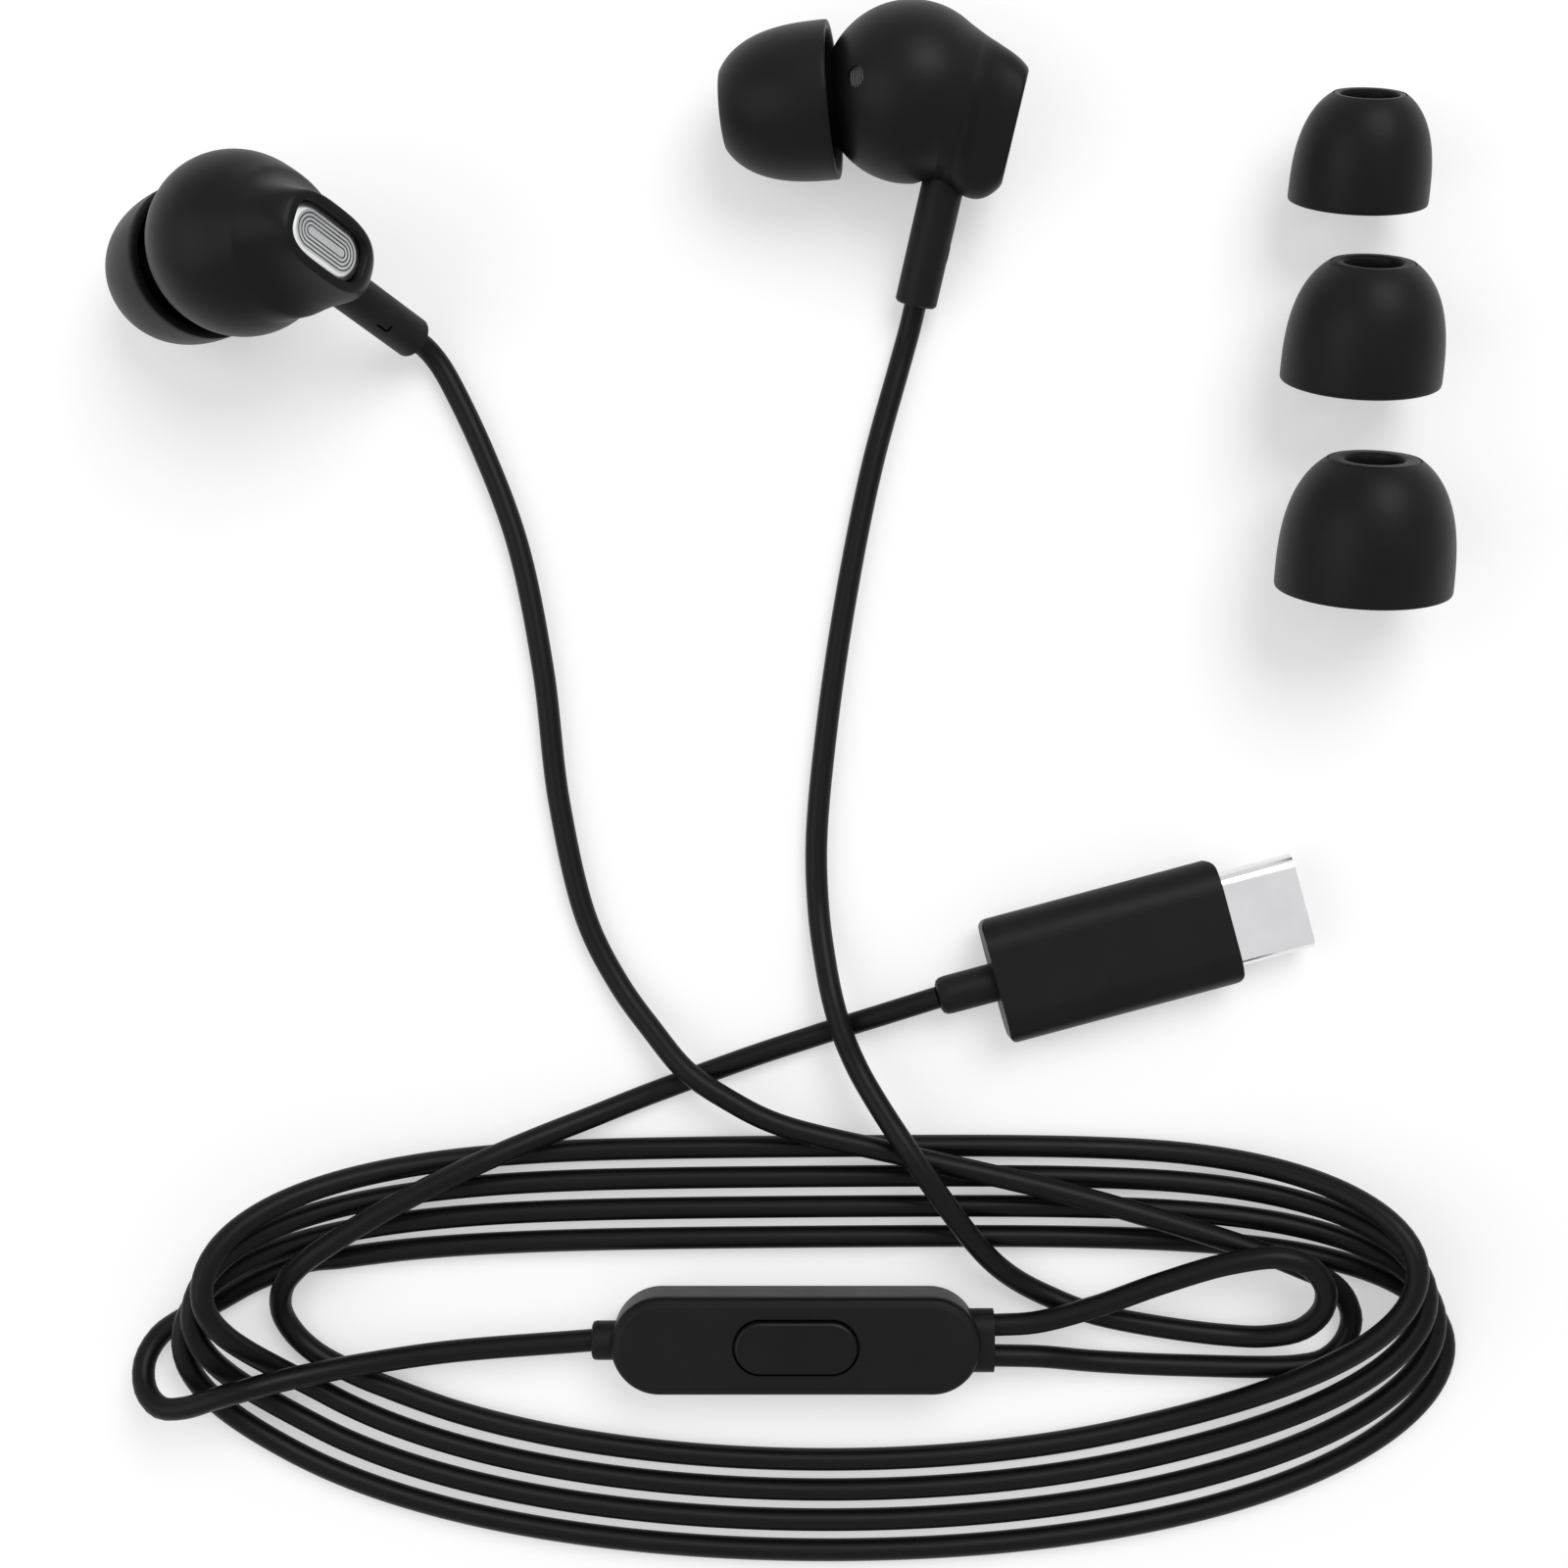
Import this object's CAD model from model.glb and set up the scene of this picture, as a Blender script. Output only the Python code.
# %% [markdown]
# # Wired earphones, laid out on a table
# Two ear buds, an inline control with one button, a long cord in four loops, a
# plug and three loose spare ear tips. The measured solids come in first as a
# fixed frame, so every new piece can be put straight onto its place in metres.
# Starting from known sizes is quicker than judging sizes by eye, and it keeps
# the moving button and the loose tips where their motions expect them.

# %% Frame
import math

import bmesh
import bpy
from mathutils import Euler, Matrix, Vector


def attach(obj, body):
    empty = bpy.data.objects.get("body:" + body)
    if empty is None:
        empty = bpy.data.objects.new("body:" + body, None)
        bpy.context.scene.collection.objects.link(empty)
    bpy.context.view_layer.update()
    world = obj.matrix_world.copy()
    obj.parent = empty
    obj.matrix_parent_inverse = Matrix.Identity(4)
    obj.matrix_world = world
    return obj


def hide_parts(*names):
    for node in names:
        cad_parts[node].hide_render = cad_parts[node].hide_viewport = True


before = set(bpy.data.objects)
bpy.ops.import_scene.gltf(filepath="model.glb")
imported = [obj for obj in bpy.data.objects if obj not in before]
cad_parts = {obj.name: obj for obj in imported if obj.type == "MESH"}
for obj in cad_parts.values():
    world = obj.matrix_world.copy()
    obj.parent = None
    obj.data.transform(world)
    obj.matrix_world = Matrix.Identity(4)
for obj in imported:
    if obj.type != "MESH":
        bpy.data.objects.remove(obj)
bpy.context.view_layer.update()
MM = 0.001
print("solids", len(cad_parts))

# %% [markdown]
# ## Camera
# Small goods are often shown from straight above, close enough that the near
# sides of tall pieces still show. A short distance does that: walls away from
# the middle of the view turn towards the camera. A parallel camera would be
# simpler, but it would hide the walls of the buds and of the control.

# %% Camera
camera_data = bpy.data.cameras.new("camera")
camera_data.lens = 50
camera_data.sensor_width = 36
camera_data.clip_start = 0.005
camera = bpy.data.objects.new("camera", camera_data)
camera_height = 0.189
camera.location = (-0.001, 0.0476, camera_height)
bpy.context.scene.collection.objects.link(camera)
bpy.context.scene.camera = camera
print("width of the view on the table in mm", round(camera_height / MM * 36 / 50, 1))

# %% [markdown]
# ## Where the buds lie
# Each bud rests on its round housing and on the edge of its ear tip. Its own
# frame has the middle of the ball as origin, +X towards the ear and -Z down
# the cord sleeve. One matrix takes millimetres of that frame to the table, and
# the left bud gets a mirror first, because the two buds are mirror images.

# %% Bud places
def bud_place(at, turn, side):
    turned = Euler([math.radians(a) for a in turn], "XYZ").to_matrix().to_4x4()
    return Matrix.Translation(Vector(at) * MM) @ turned @ Matrix.Diagonal((MM, side * MM, MM, 1))


RIGHT = bud_place((9.5, 105.2, 7.58764), (70, 2, 166.5), 1)
LEFT = bud_place((-44.7, 91, 14.0722), (14.9, 32, 175.6), -1)
BUDS = {"right": RIGHT, "left": LEFT}
TABLE = Matrix.Scale(MM, 4)
SLEEVE_X = -4.4
SLEEVE_END = Vector((SLEEVE_X, 0, -16.8))
right_exit = RIGHT @ SLEEVE_END
left_exit = LEFT @ SLEEVE_END
print("cord leaves the right bud at", [round(c, 4) for c in right_exit])
print("cord leaves the left bud at", [round(c, 4) for c in left_exit])

# %% [markdown]
# ## Cord routes
# The cord is one soft line that lies on the table and climbs only where it
# crosses itself. A few points give its way, and a centripetal spline through
# them gives smooth bends: unlike a plain cubic spline it doesn't overshoot
# where points lie close together, as they do in the tight turns.

# %% Spline through route points
def flowing(points, step=0.7):
    ends = [2 * points[0] - points[1], *points, 2 * points[-1] - points[-2]]
    line = []
    for p0, p1, p2, p3 in zip(ends, ends[1:], ends[2:], ends[3:]):
        a, b, c = [max((q - p).length, 1e-6) ** 0.5
                   for p, q in ((p0, p1), (p1, p2), (p2, p3))]
        m1 = p2 - p1 + b * ((p1 - p0) / a - (p2 - p0) / (a + b))
        m2 = p2 - p1 + b * ((p3 - p2) / c - (p3 - p1) / (b + c))
        count = max(2, round((p2 - p1).length / step))
        for i in range(count):
            s = i / count
            line.append((2 * s**3 - 3 * s**2 + 1) * p1 + (s**3 - 2 * s**2 + s) * m1
                        + (3 * s**2 - 2 * s**3) * p2 + (s**3 - s**2) * m2)
    return line + [points[-1]]


def length_of(line):
    return sum((b - a).length for a, b in zip(line, line[1:]))


# %% Ends of the control and the plug
CORD_R = 0.95
plug_turn = math.radians(15)
plug_out = Vector((math.cos(plug_turn), math.sin(plug_turn), 0))
plug_back = Vector((17, 30.65, 2.7))
collar_length = 5
plug_exit = plug_back - collar_length * plug_out
control_left = Vector((-17.4, 0, 2.6))
control_right = Vector((16.9, 0, 2.6))
beside = Vector((0, 1.3, 0))
print("cord leaves the plug at", [round(c, 2) for c in plug_exit], "mm")

# %% [markdown]
# ### The four loops
# Each loop is an oval that is a little longer and lies a little lower on the
# table than the one before, so the strands fan out in front and close up at
# the back. At both ends of an oval the strand rises over the older loops. The
# same formula as in the solids gives the points, only closer together. A short
# straight lead at each end keeps the direction in which the ovals are left.

# %% Loops
def hump(t, at, before, after):
    u = (t - at) / (before if t < at else after)
    return math.cos(math.pi / 2 * u) ** 2 if abs(u) < 1 else 0


def loops(t):
    a = math.pi + 2 * math.pi * t
    climb = sum((4 - k) * (hump(t, k + 0.004, 0.2, 0.094) + hump(t, k - 0.495, 0.166, 0.155))
                for k in (1, 2, 3))
    depth = 14.8 * math.sin(a) + 0.637 * math.sin(3 * a)
    return Vector((1.5 + (49.3 + 1.486 * t) * math.cos(a),
                   6.1 + 2 * math.cos(2 * a) - 2.6 * t + depth,
                   CORD_R + 2.5 * climb))


def level(v):
    return Vector((v.x, v.y, 0)).normalized()


LOOP_FROM, LOOP_TO, LOOP_STEPS = 0.125, 3.875, 267
lead, nearby = 1.9, 0.002
loop_points = [loops(LOOP_FROM + (LOOP_TO - LOOP_FROM) * i / LOOP_STEPS)
               for i in range(LOOP_STEPS + 1)]
loop_start = loop_points[0] - lead * level(loops(LOOP_FROM + nearby) - loop_points[0])
loop_end = loop_points[-1] + lead * level(loop_points[-1] - loops(LOOP_TO - nearby))
print("loops hold", round(length_of(loop_points)), "mm of cord")

# %% [markdown]
# ### The free stretches
# The plug's end of the cord crosses the back of the loops, the control's end
# makes a tight turn at the far left, and the two bud cords sweep down, cross
# the loops and fold back at the right before they enter the control.

# %% Route points in millimetres
plug_tail = [Vector(p) for p in (
    (-37.2, -3.7, 0.95), (-39.3, -2.7, 0.95), (-41.4, -1.5, 0.95), (-43.2, 0.2, 1.1),
    (-44.2, 2.4, 1.8), (-43.7, 4.8, 3.1), (-42, 6.8, 4.1), (-39.5, 8.6, 4.6),
    (-36, 10.8, 4.8), (-32, 13, 4.8), (-27, 15.4, 4.4), (-22, 17.4, 3.2),
    (-17.5, 19, 1.8), (-13, 20.7, 1), (-4, 24, 0.95), (3, 26.3, 1), (7.5, 27.8, 1.9))]
control_tail = [Vector(p) for p in (
    (-42, 6.4, 0.95), (-46.5, 4.8, 0.95), (-50, 2.9, 0.95), (-52.8, 1.5, 1),
    (-54.8, 0.1, 1.4), (-55.8, -1.9, 2.3), (-55.4, -4, 3.4), (-53.8, -5.2, 4.6),
    (-51.5, -5, 5.4), (-48.9, -4.1, 5.9), (-46.4, -3.4, 5.9), (-44, -2.9, 5.2),
    (-41.2, -2.5, 4.2), (-37, -1.9, 3.3), (-30, -1, 2.7))]
left_run = [Vector(p) for p in (
    (-31.9, 85.2, 1.75), (-31, 84.2, 1.2), (-30.1, 82.8, 0.95), (-27, 76.4, 0.95),
    (-24, 68.3, 0.95), (-21.8, 57.5, 0.95), (-20.4, 46, 0.95), (-18, 35.8, 0.95),
    (-15.2, 30.3, 1.1), (-12.4, 26.6, 2.1), (-9.3, 23.1, 3.3), (-5.6, 20.6, 3.4),
    (-1.5, 18.6, 3.4), (10, 15.8, 3.4), (22, 13, 3.4), (32, 10.2, 3.5), (40, 7.6, 3.5),
    (43, 6.4, 3.4), (45.3, 5.3, 3), (47, 3.7, 2.3), (47.8, 1.6, 1.7), (47.3, -0.5, 1.2),
    (45.8, -2, 1), (43.5, -2.6, 0.95), (34, -2.6, 0.95), (26, -2.2, 1.1), (21, -1.5, 2.2))]
right_run = [Vector(p) for p in (
    (9.8, 86.7, 1.25), (9, 83.8, 0.95), (6.6, 75, 0.95), (4.4, 64, 0.95),
    (2.7, 52.5, 0.95), (1.8, 42.5, 0.95), (2, 36.5, 1.1), (2.5, 32.6, 2.1),
    (3.1, 29.4, 3.2), (4, 26.3, 3.6), (5.3, 23.3, 3.8), (7, 20.4, 4.6), (9, 17.4, 5.7),
    (10.9, 14.6, 5.8), (13, 11.6, 5.1), (15, 8.9, 4.1), (17, 6.6, 2.7), (19.2, 4.8, 1.5),
    (22, 3.3, 0.95), (26, 1.8, 0.95), (37.5, 0, 0.95), (40.8, 0.1, 1.6), (43.3, 1, 2.8),
    (44.7, 3, 4.3), (44.6, 5.2, 5.5), (43.2, 7, 6), (40.9, 7.8, 6.1), (36.5, 7.2, 5.6),
    (31, 5.3, 4.5), (25.5, 3.1, 3.6), (20.5, 1.6, 2.9))]

# %% [markdown]
# ## Finishes
# Nearly everything here is black, so shape shows only through gloss. Each
# black therefore gets its own gloss: fine spark-eroded grain on the housings,
# a softer, slightly cloudy bloom on the silicone, and a smoother skin on the
# cord. Grain comes from small noise on Object coordinates through a bump, and
# a broad, weak noise varies the gloss as hands and moulds do. The blacks
# reflect less than clear plastic does, or a white room would turn them grey.

# %% Moulded finish
DEEP_BLACK = 0.01
BLACK_SPECULAR = 0.14


def moulded(name, colour, rough, grain=0.00012, relief=0.1, cloud=0.004, spread=0.06,
            tint=1.25, metal=0):
    finish = bpy.data.materials.new(name)
    finish.use_nodes = True
    nodes, links = finish.node_tree.nodes, finish.node_tree.links
    skin = nodes["Principled BSDF"]
    skin.inputs["Metallic"].default_value = metal
    if max(colour) < DEEP_BLACK:
        skin.inputs["Specular IOR Level"].default_value = BLACK_SPECULAR
    place = nodes.new("ShaderNodeTexCoord")
    broad = nodes.new("ShaderNodeTexNoise")
    broad.inputs["Scale"].default_value = 1 / cloud
    broad.inputs["Detail"].default_value = 4
    fine = nodes.new("ShaderNodeTexNoise")
    fine.inputs["Scale"].default_value = 1 / grain
    fine.inputs["Detail"].default_value = 2
    for texture in (broad, fine):
        links.new(place.outputs["Object"], texture.inputs["Vector"])
    shades = nodes.new("ShaderNodeValToRGB")
    shades.color_ramp.elements[0].position = 0.35
    shades.color_ramp.elements[0].color = (*colour, 1)
    shades.color_ramp.elements[1].position = 0.65
    shades.color_ramp.elements[1].color = (*[min(1, c * tint) for c in colour], 1)
    links.new(broad.outputs["Fac"], shades.inputs["Fac"])
    links.new(shades.outputs["Color"], skin.inputs["Base Color"])
    gloss = nodes.new("ShaderNodeMapRange")
    gloss.inputs["From Min"].default_value = 0.3
    gloss.inputs["From Max"].default_value = 0.7
    gloss.inputs["To Min"].default_value = rough - spread / 2
    gloss.inputs["To Max"].default_value = rough + spread / 2
    links.new(broad.outputs["Fac"], gloss.inputs["Value"])
    links.new(gloss.outputs["Result"], skin.inputs["Roughness"])
    bump = nodes.new("ShaderNodeBump")
    bump.inputs["Strength"].default_value = relief
    bump.inputs["Distance"].default_value = grain * 0.25
    links.new(fine.outputs["Fac"], bump.inputs["Height"])
    links.new(bump.outputs["Normal"], skin.inputs["Normal"])
    return finish


# %% Blacks
housing_black = moulded("housing_black", (0.0045, 0.0045, 0.005), 0.42)
control_black = moulded("control_black", (0.005, 0.005, 0.0055), 0.45)
plug_black = moulded("plug_black", (0.005, 0.005, 0.0055), 0.42)
button_black = moulded("button_black", (0.0045, 0.0045, 0.005), 0.38)
sleeve_rubber = moulded("sleeve_rubber", (0.005, 0.005, 0.0055), 0.5, grain=0.0002, relief=0.15)
cord_rubber = moulded("cord_rubber", (0.003, 0.003, 0.0032), 0.4,
                      grain=0.0003, relief=0.08, cloud=0.01)
tip_silicone = moulded("tip_silicone", (0.0035, 0.0035, 0.0037), 0.44,
                       grain=0.0002, relief=0.06, cloud=0.003)
for finish in (tip_silicone, sleeve_rubber):
    finish.node_tree.nodes["Principled BSDF"].inputs["Sheen Weight"].default_value = 0.03
print("blacks", len(bpy.data.materials))

# %% [markdown]
# ### Metals and hidden parts
# The face inserts are plated plastic with a satin top, which stays bright even
# where a black housing stands opposite. The plug's shell is drawn steel and
# mirrors what is round it. The parts inside the housings are seen when the
# part is taken apart, so they get the finish of the real things too.

# %% Metals
plated = moulded("plated", (0.88, 0.89, 0.9), 0.3,
                 grain=0.00008, relief=0.02, spread=0.05, tint=1.05, metal=1)
drawn_steel = moulded("drawn_steel", (0.8, 0.8, 0.82), 0.13,
                      grain=0.0001, relief=0.03, spread=0.06, tint=1.05, metal=1)
bright_steel = moulded("bright_steel", (0.6, 0.6, 0.62), 0.28, grain=0.0001, relief=0.1, metal=1)
gilt_copper = moulded("gilt_copper", (0.83, 0.62, 0.27), 0.22,
                      grain=0.0001, relief=0.08, metal=1)
groove_black = moulded("groove_black", (0.015, 0.015, 0.016), 0.4)
frame_grey = moulded("frame_grey", (0.16, 0.16, 0.17), 0.5)
driver_film = moulded("driver_film", (0.5, 0.47, 0.4), 0.3, grain=0.0003, relief=0.1)
chip_black = moulded("chip_black", (0.03, 0.03, 0.032), 0.55, grain=0.00006, relief=0.2)
board_green = moulded("board_green", (0.015, 0.12, 0.05), 0.35,
                      grain=0.0002, relief=0.12, cloud=0.0015, tint=1.6)
port_black = moulded("port_black", (0.02, 0.02, 0.02), 0.5)

# %% Woven screen
def woven(name, colour, pitch):
    finish = moulded(name, colour, 0.35, metal=0.9)
    nodes, links = finish.node_tree.nodes, finish.node_tree.links
    place = nodes["Texture Coordinate"]
    holes = nodes.new("ShaderNodeTexVoronoi")
    holes.inputs["Scale"].default_value = 1 / pitch
    holes.inputs["Randomness"].default_value = 0
    links.new(place.outputs["Object"], holes.inputs["Vector"])
    bump = nodes["Bump"]
    bump.inputs["Strength"].default_value = 0.9
    bump.inputs["Distance"].default_value = pitch
    links.new(holes.outputs["Distance"], bump.inputs["Height"])
    return finish


screen_mesh = woven("screen_mesh", (0.09, 0.09, 0.095), 0.00018)

# %% [markdown]
# ## How a piece joins the part
# Every new piece goes through one function: it merges doubled points, makes
# all faces look outwards, shades soft bends smoothly and sharp edges crisply,
# and says which body it moves with and which solid it stands for.

# %% Finishing a piece
def piece(name, shape, finish, body="earphones", stands_for=None, crisp=40):
    bmesh.ops.remove_doubles(shape, verts=shape.verts, dist=1e-7)
    bmesh.ops.recalc_face_normals(shape, faces=shape.faces)
    mesh = bpy.data.meshes.new(name)
    shape.to_mesh(mesh)
    shape.free()
    mesh.polygons.foreach_set("use_smooth", [True] * len(mesh.polygons))
    mesh.set_sharp_from_angle(angle=math.radians(crisp))
    made = bpy.data.objects.new(name, mesh)
    bpy.context.scene.collection.objects.link(made)
    mesh.materials.append(finish)
    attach(made, body)
    if stands_for:
        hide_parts(stands_for)
    return made


def spun(outline, place, steps=72, turn_to=None):
    """A closed outline of (radius, height) points, spun round Z."""
    shape = bmesh.new()
    points = [shape.verts.new((r, 0, z)) for r, z in outline]
    edges = [shape.edges.new(pair) for pair in zip(points, points[1:])]
    bmesh.ops.spin(shape, geom=points + edges, cent=(0, 0, 0), axis=(0, 0, 1),
                   angle=math.tau, steps=steps, use_merge=True)
    bmesh.ops.remove_doubles(shape, verts=shape.verts, dist=1e-5)
    if turn_to:
        shape.transform(turn_to)
    shape.transform(place)
    return shape


# %% Cord pieces
def cord_piece(name, line):
    data = bpy.data.curves.new(name, "CURVE")
    data.dimensions = "3D"
    data.bevel_depth = CORD_R * MM
    data.bevel_resolution = 5
    data.use_fill_caps = True
    run = data.splines.new("POLY")
    run.points.add(len(line) - 1)
    for point, p in zip(run.points, line):
        point.co = (p.x * MM, p.y * MM, max(p.z, CORD_R) * MM, 1)
    made = bpy.data.objects.new(name, data)
    bpy.context.scene.collection.objects.link(made)
    data.materials.append(cord_rubber)
    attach(made, "earphones")
    return made


main_line = flowing([plug_exit, *reversed(plug_tail), loop_start, *loop_points, loop_end,
                     *control_tail, control_left])
main_cord = cord_piece("main_cord", main_line)
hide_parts("plug_tail_cord", "coiled_cord", "control_tail_cord")
print("control to plug", round(length_of(main_line)), "mm")

left_line = flowing([left_exit / MM, *left_run, control_right - beside])
left_cord = cord_piece("left_cord", left_line)
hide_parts("left_bud_cord")
right_line = flowing([right_exit / MM, *right_run, control_right + beside])
right_cord = cord_piece("right_cord", right_line)
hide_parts("right_bud_cord")
print("left bud cord", round(length_of(left_line)), "mm")
print("right bud cord", round(length_of(right_line)), "mm")

# %% [markdown]
# ## Ear tips
# An ear tip is a soft silicone dome turned back over a core tube, moulded in
# one piece. All five share one profile in three sizes. A spin is the natural
# tool for it: half a section, turned once round, with rounded lips at the
# mouth and at the rim where a mould leaves them. The dome is a superellipse
# that would end a little beyond the mouth, and the mouth cuts it off.

# %% Ear tip profile
CORE = 2.55
DOME_REACH, ALONG, ACROSS = 1.086, 2.8, 2.4
NOZZLE_TURN, TIP_SEAT = 107.5, 6.4


def dome_radius(r, length, a):
    return r * (1 - (a / (DOME_REACH * length)) ** ALONG) ** (1 / ACROSS)


def tip_outline(d, length):
    wall, core_out = 0.75, CORE + 0.55
    rise = [length * math.sin(math.pi / 2 * i / 28) for i in range(28)]
    outer = [(dome_radius(d / 2, length, a), a) for a in rise]
    nose = dome_radius(d / 2, length, length)
    inner_len = length - 1.6 * wall
    top = DOME_REACH * inner_len * (1 - (core_out / (d / 2 - wall)) ** ACROSS) ** (1 / ALONG)
    fall = [top * math.sin(math.pi / 2 * i / 16) for i in range(16, 0, -1)]
    inner = [(dome_radius(d / 2 - wall, inner_len, a), a) for a in fall]
    mouth = CORE - 0.15
    rim = [(d / 2 - 0.75, 0.16), (d / 2 - 0.64, 0.03), (d / 2 - 0.5, 0), (d / 2 - 0.16, 0),
           (d / 2 - 0.04, 0.05)]
    lip = [(nose - 0.02, length - 0.16), (nose - 0.1, length - 0.04), (nose - 0.22, length),
           (mouth + 0.2, length), (mouth + 0.06, length - 0.07), (mouth, length - 0.22)]
    outer[0] = (d / 2, 0.2)
    core = [(mouth, length - 1.6), (CORE, length - 1.8), (CORE, 2.08), (CORE + 0.1, 2),
            (core_out - 0.1, 2), (core_out, 2.1)]
    line = [*outer, *lip, *core, *inner, *rim]
    return line + line[:1]


def along_nozzle(distance):
    turned = Matrix.Rotation(math.radians(NOZZLE_TURN), 4, "Y")
    return turned @ Matrix.Translation((0, 0, distance))


SEATED = tip_outline(12.9, 9.3)
for side, place in BUDS.items():
    piece(f"{side}_tip", spun(SEATED, place, 96, along_nozzle(TIP_SEAT)), tip_silicone,
          stands_for=f"{side}_ear_tip")

# %% [markdown]
# ### Loose tips
# The three spares lie in a row, propped on their rims with their mouths up.
# Each rides on a body of its own, so it can be picked up from the table.

# %% Loose tips
ROW_X = 47.4
LOOSE = {
    # place along the row, width, length, lean in degrees
    "small": (96.8, 11.6, 8.8, 27),
    "medium": (81.5, 13.3, 9.9, 25),
    "large": (64, 14.6, 10.9, 20),
}
for size, (y, d, length, lean) in LOOSE.items():
    tilt = math.radians(lean)
    spot = Matrix.Translation((ROW_X, y, d / 2 * math.cos(tilt)))
    propped = spot @ Matrix.Rotation(tilt - math.pi / 2, 4, "X")
    piece(f"{size}_tip", spun(tip_outline(d, length), TABLE, 96, propped), tip_silicone,
          body=f"spare_{size}_tip", stands_for=f"spare_{size}_ear_tip")
print("ear tips", 2 + len(LOOSE))

# %% [markdown]
# ## Rear housings
# Behind the ball the housing narrows in a hollow sweep to an oval snout, which
# carries the bright insert. No single primitive has that form, so it is lofted:
# ovals are set one behind another, each with its own width, height and
# squareness, and bridged. The edge of the face gets two narrow steps that
# round it, and the rings then turn inwards to make the seat of the insert. The
# rings of the face lie a few hundredths of a millimetre apart in depth, because
# rings in one plane round one middle can be bridged to the wrong partners.

# %% Sections of the back
FACE_MID = -0.85
back_rows = [Vector(row) for row in (
    # distance back, half width, middle, half height, squareness
    (3.6, 6.408, 0, 6.408, 2), (4.3, 6.05, -0.2, 6.3, 2), (4.9, 5.65, -0.45, 6.3, 2.05),
    (5.4, 5, -0.65, 6.3, 2.1), (6, 4.35, -0.825, 6.275, 2.2), (6.7, 3.85, -1, 6.2, 2.35),
    (7.4, 3.5, -1.1, 6.05, 2.5), (8.1, 3.25, -1.1, 5.75, 2.65), (8.7, 3.1, -1, 5.3, 2.75),
    (9.05, 3.04, -0.9, 4.93, 2.8))]
seat_rows = [Vector(row) for row in (
    (9.15, 2.97, FACE_MID, 4.72, 2.8), (9.2, 2.86, FACE_MID, 4.61, 2.8),
    (9.18, 2.32, FACE_MID, 4.12, 3.2), (9.12, 2.25, FACE_MID, 4.05, 3.4),
    (8.6, 2.23, FACE_MID, 4.03, 3.4), (7.66, 2.23, FACE_MID, 4.03, 3.4))]
hollow_rows = [Vector(row) for row in ((3.6, 4.62, 0, 4.62, 2), (7, 2.6, 0, 2.6, 2))]


def oval_ring(shape, row, count=88):
    back, half_width, middle, half_height, squareness = row
    ring = bmesh.ops.create_circle(shape, segments=count, radius=1)["verts"]
    for v in ring:
        across, up = v.co.x, v.co.y
        v.co = (-back, half_width * math.copysign(abs(across) ** (2 / squareness), across),
                middle + half_height * math.copysign(abs(up) ** (2 / squareness), up))
    return list({e for v in ring for e in v.link_edges})


def rear_shape(place):
    shape = bmesh.new()
    rows = [*reversed(hollow_rows), *flowing(back_rows, 0.22), *seat_rows]
    rings = [oval_ring(shape, row) for row in rows]
    for ring, following in zip(rings, rings[1:]):
        bmesh.ops.bridge_loops(shape, edges=ring + following)
    for ring in (rings[0], rings[-1]):
        bmesh.ops.contextual_create(shape, geom=ring)
    shape.transform(place)
    return shape


for side, place in BUDS.items():
    rear = piece(f"{side}_rear", rear_shape(place), housing_black,
                 stands_for=f"{side}_rear_housing", crisp=32)
print("faces of a rear housing", len(rear.data.polygons))

# %% [markdown]
# ## Face inserts
# The insert is a plated oval with a broad bevel and fine grooves that run round
# it one inside another. Insetting the top face again and again makes the nested
# ovals. A groove is three narrow bands, which go down, along and up again, and
# they are darkened so that they stay lines beside the bright ridges.

# %% Insert
INSERT_LONG, INSERT_WIDE, INSERT_THICK, INSERT_BACK = 8, 4.4, 1, 7.7
EDGE_BANDS = ((0.1, 0.08), (0.42, 0.2), (0.06, 0.02))
GROOVE_BANDS = ((0.02, -0.07), (0.075, 0), (0.02, 0.07))
GROOVES, RIDGE = 4, 0.21


def insert_shape(place):
    shape = bmesh.new()
    bmesh.ops.create_circle(shape, cap_ends=True, segments=72, radius=INSERT_WIDE / 2)
    for v in shape.verts:
        if abs(v.co.x) > 1e-4:
            v.co.x += math.copysign((INSERT_LONG - INSERT_WIDE) / 2, v.co.x)
    shape.normal_update()
    if shape.faces[:][0].normal.z < 0:
        bmesh.ops.reverse_faces(shape, faces=shape.faces[:])
    walls = bmesh.ops.extrude_face_region(shape, geom=shape.faces[:])
    lid = next(g for g in walls["geom"] if isinstance(g, bmesh.types.BMFace))
    wall = INSERT_THICK - sum(depth for thickness, depth in EDGE_BANDS)
    bmesh.ops.translate(shape, verts=lid.verts, vec=(0, 0, wall))
    shape.normal_update()

    def inset(thickness, depth):
        return bmesh.ops.inset_region(shape, faces=[lid], thickness=thickness, depth=depth)["faces"]

    for band in EDGE_BANDS:
        inset(*band)
    for groove in range(GROOVES):
        inset(RIDGE, 0)
        for band in GROOVE_BANDS:
            for face in inset(*band):
                face.material_index = 1
    standing = Matrix.Rotation(-math.pi / 2, 4, "Y")
    shape.transform(place @ Matrix.Translation((-INSERT_BACK, 0, FACE_MID)) @ standing)
    return shape


for side, place in BUDS.items():
    insert = piece(f"{side}_insert", insert_shape(place), plated,
                   stands_for=f"{side}_face_insert", crisp=18)
    insert.data.materials.append(groove_black)
print("faces of an insert", len(insert.data.polygons))

# %% [markdown]
# ## Side marks
# Each sleeve carries the letter of its side, in a deeper black than the rubber.
# A letter is a text object made into a mesh and laid round the sleeve, a hair
# proud of it so that it shows, with its top towards the housing.

# %% Letters on the sleeves
SLEEVE_R, MARK_Z = 1.8, -12.2


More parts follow.
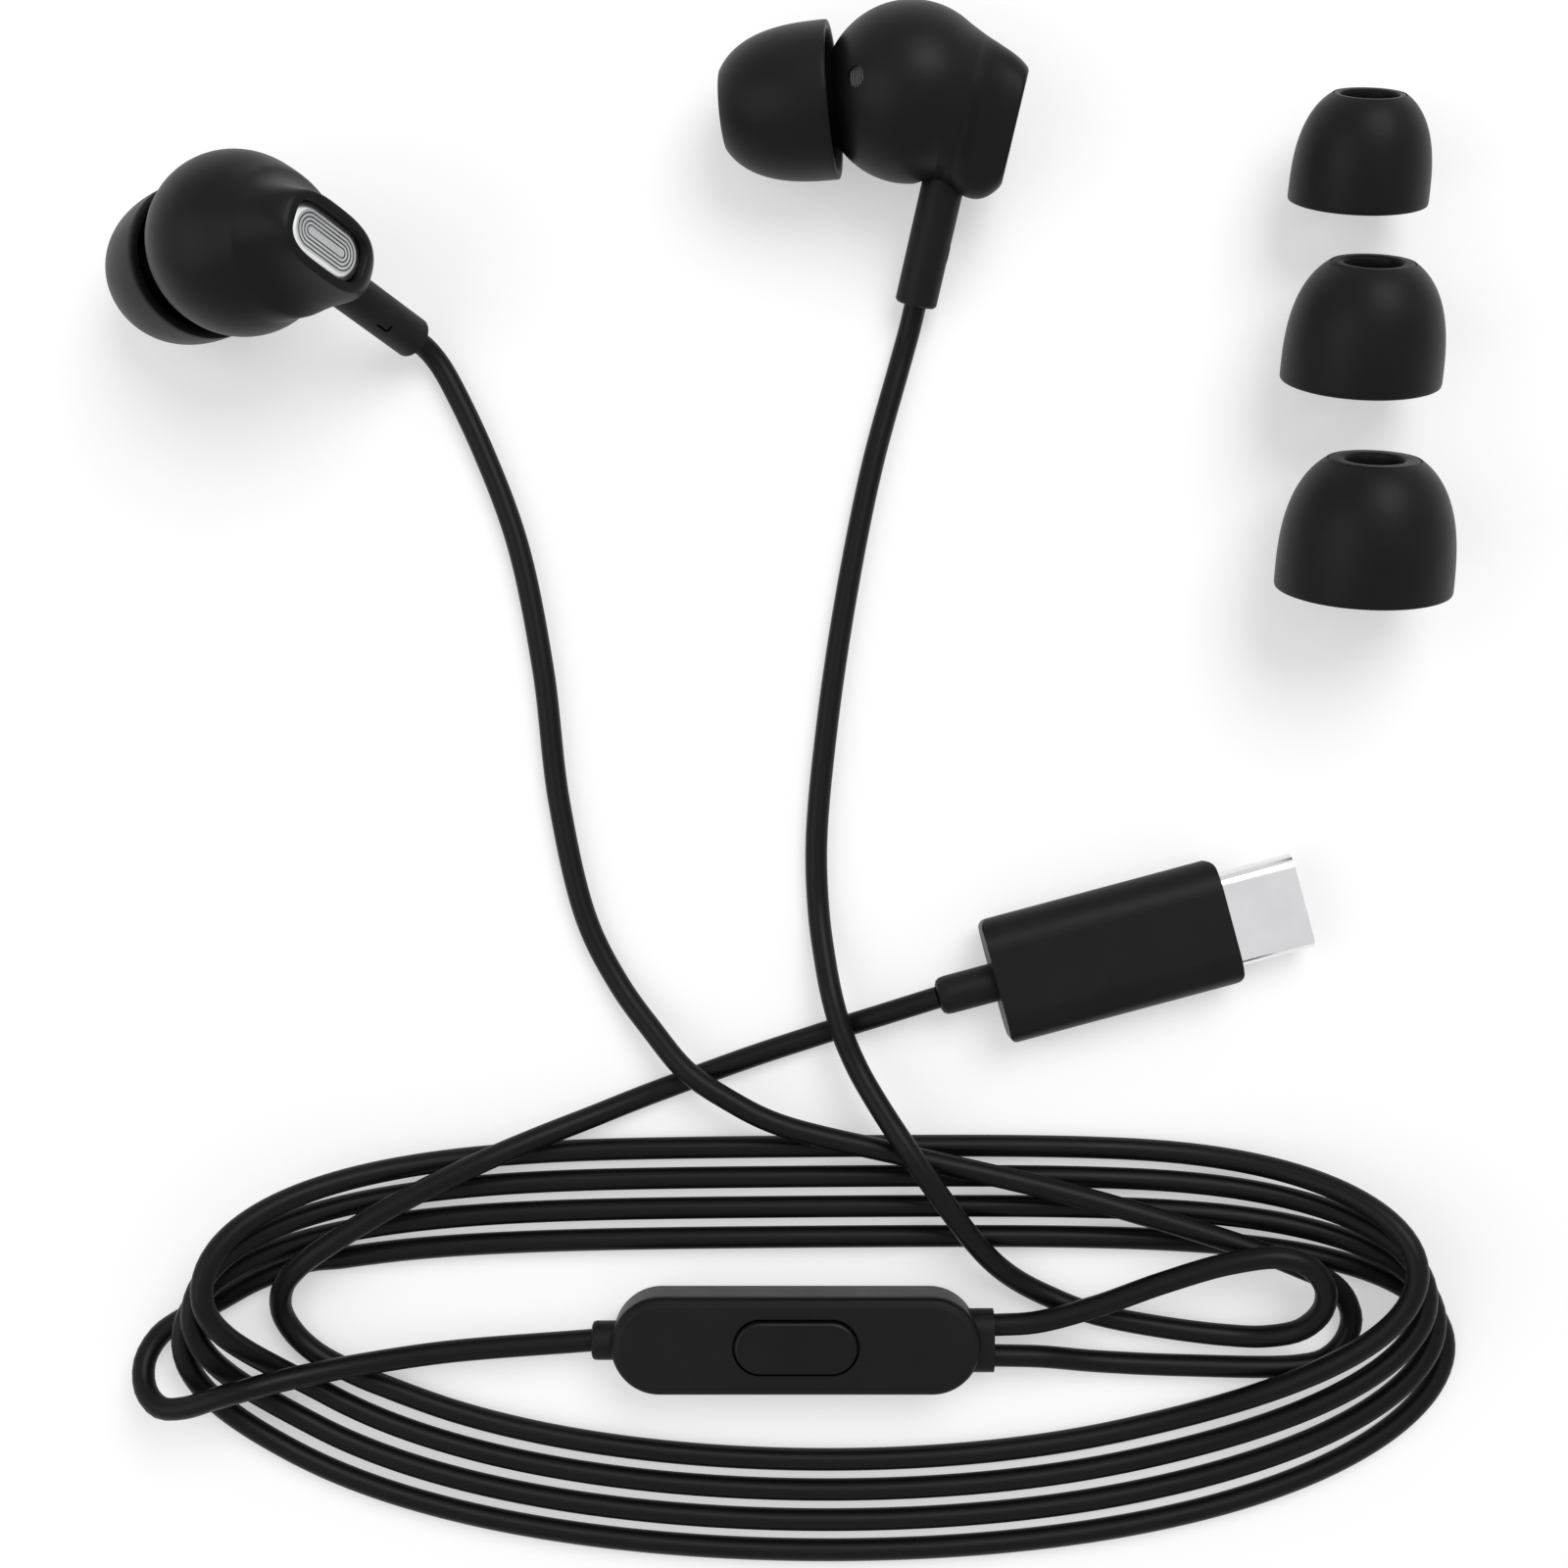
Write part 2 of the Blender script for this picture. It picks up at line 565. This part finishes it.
def side_mark(letter, name, place, around):
    text = bpy.data.curves.new(name, "FONT")
    text.body = letter
    text.size = 1.9
    text.align_x, text.align_y = "CENTER", "CENTER"
    text.extrude = 0.02
    text.resolution_u = 4
    maker = bpy.data.objects.new(name, text)
    bpy.context.scene.collection.objects.link(maker)
    bpy.context.view_layer.update()
    shape = bmesh.new()
    letters = maker.evaluated_get(bpy.context.evaluated_depsgraph_get())
    shape.from_mesh(bpy.data.meshes.new_from_object(letters))
    bpy.data.objects.remove(maker)
    long_edges = [e for e in shape.edges if e.calc_length() > 0.3]
    bmesh.ops.subdivide_edges(shape, edges=long_edges, cuts=3)
    for v in shape.verts:
        turn = v.co.x / SLEEVE_R + math.radians(around)
        out = SLEEVE_R + v.co.z
        v.co = (SLEEVE_X + out * math.cos(turn), out * math.sin(turn), MARK_Z + v.co.y)
    shape.transform(place)
    return piece(name, shape, mark_black, crisp=30)


mark_black = moulded("mark_black", (0.001, 0.001, 0.001), 0.6, grain=0.0002)
mark_black.node_tree.nodes["Principled BSDF"].inputs["Specular IOR Level"].default_value = 0
side_mark("L", "left_mark", LEFT @ Matrix.Diagonal((1, -1, 1, 1)), 130)
side_mark("R", "right_mark", RIGHT, 180)

# %% [markdown]
# ## Materials of the carried-over solids
# Solids whose shape is already right stay as they are and only get their
# finish. Assigning a material to an object's slot leaves its mesh untouched.

# %% Dressing the solids
FINISH_OF = {
    "front_housing": housing_black, "rear_housing": housing_black, "face_insert": plated,
    "cord_sleeve": sleeve_rubber, "vent_mesh": screen_mesh, "nozzle_mesh": screen_mesh,
    "driver_frame": frame_grey, "driver_magnet": bright_steel, "diaphragm": driver_film,
    "control_back_shell": control_black, "control_front_shell": control_black,
    "control_button": button_black, "control_switch_base": frame_grey,
    "control_switch_plunger": bright_steel, "control_board": board_green,
    "control_microphone": bright_steel, "collar": sleeve_rubber, "plug_housing": plug_black,
    "plug_metal_shell": drawn_steel, "plug_insulator": port_black, "plug_contacts": gilt_copper,
    "plug_board": board_green, "plug_chip": chip_black, "ear_tip": tip_silicone,
    "cord": cord_rubber,
}
for name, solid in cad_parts.items():
    finish = next(f for ending, f in FINISH_OF.items() if name.endswith(ending))
    solid.data.materials.clear()
    solid.data.materials.append(finish)

# %% [markdown]
# ## Table and light
# The table is a plain white sheet. It is made a little brighter for the camera
# than the lamps make it, and for reflections too, so that the metal shows a
# white room. One large soft lamp at the upper right gives the long highlights,
# a weaker one fills from the left, and a grey room light does the rest.

# %% Light for the eye and for mirrors
def seen_or_mirrored(nodes, links, socket):
    path = nodes.new("ShaderNodeLightPath")
    either = nodes.new("ShaderNodeMath")
    either.operation = "MAXIMUM"
    links.new(path.outputs["Is Camera Ray"], either.inputs[0])
    links.new(path.outputs["Is Glossy Ray"], either.inputs[1])
    links.new(either.outputs["Value"], socket)


# %% Table
PAPER_GREY, PAPER_LIFT = 0.62, 0.42
table_shape = bmesh.new()
bmesh.ops.create_circle(table_shape, cap_ends=True, segments=64, radius=1.2)
table_mesh = bpy.data.meshes.new("table_top")
table_shape.to_mesh(table_mesh)
table_shape.free()
table_top = bpy.data.objects.new("table_top", table_mesh)
bpy.context.scene.collection.objects.link(table_top)
paper = bpy.data.materials.new("paper")
paper.use_nodes = True
nodes, links = paper.node_tree.nodes, paper.node_tree.links
sheet = nodes["Principled BSDF"]
sheet.inputs["Base Color"].default_value = (PAPER_GREY, PAPER_GREY, PAPER_GREY, 1)
sheet.inputs["Roughness"].default_value = 0.9
sheet.inputs["Specular IOR Level"].default_value = 0.1
lift = nodes.new("ShaderNodeEmission")
lift.inputs["Color"].default_value = (PAPER_LIFT, PAPER_LIFT, PAPER_LIFT, 1)
seen_or_mirrored(nodes, links, lift.inputs["Strength"])
both = nodes.new("ShaderNodeAddShader")
links.new(sheet.outputs["BSDF"], both.inputs[0])
links.new(lift.outputs["Emission"], both.inputs[1])
links.new(both.outputs["Shader"], nodes["Material Output"].inputs["Surface"])
table_mesh.materials.append(paper)

# %% Lamps
def soft_lamp(name, at, look, size, power):
    data = bpy.data.lights.new(name, "AREA")
    data.shape = "DISK"
    data.size = size
    data.energy = power
    lamp = bpy.data.objects.new(name, data)
    lamp.location = at
    lamp.rotation_euler = (Vector(look) - Vector(at)).to_track_quat("-Z", "Y").to_euler()
    bpy.context.scene.collection.objects.link(lamp)


MIDDLE = (0, 0.045, 0)
soft_lamp("key", (0.22, 0.42, 0.6), MIDDLE, 0.5, 2.8)
soft_lamp("fill", (-0.45, 0, 0.45), MIDDLE, 0.6, 1.1)
print("lamps", len(bpy.data.lights))

# %% Room light
ROOM_GREY = 0.45
room = bpy.data.worlds.new("room")
bpy.context.scene.world = room
room.use_nodes = True
nodes, links = room.node_tree.nodes, room.node_tree.links
nodes["Background"].inputs["Color"].default_value = (ROOM_GREY, ROOM_GREY, ROOM_GREY, 1)
white = nodes.new("ShaderNodeBackground")
pick = nodes.new("ShaderNodeMixShader")
seen_or_mirrored(nodes, links, pick.inputs["Fac"])
links.new(nodes["Background"].outputs["Background"], pick.inputs[1])
links.new(white.outputs["Background"], pick.inputs[2])
links.new(pick.outputs["Shader"], nodes["World Output"].inputs["Surface"])
bpy.context.scene.view_settings.view_transform = "Standard"
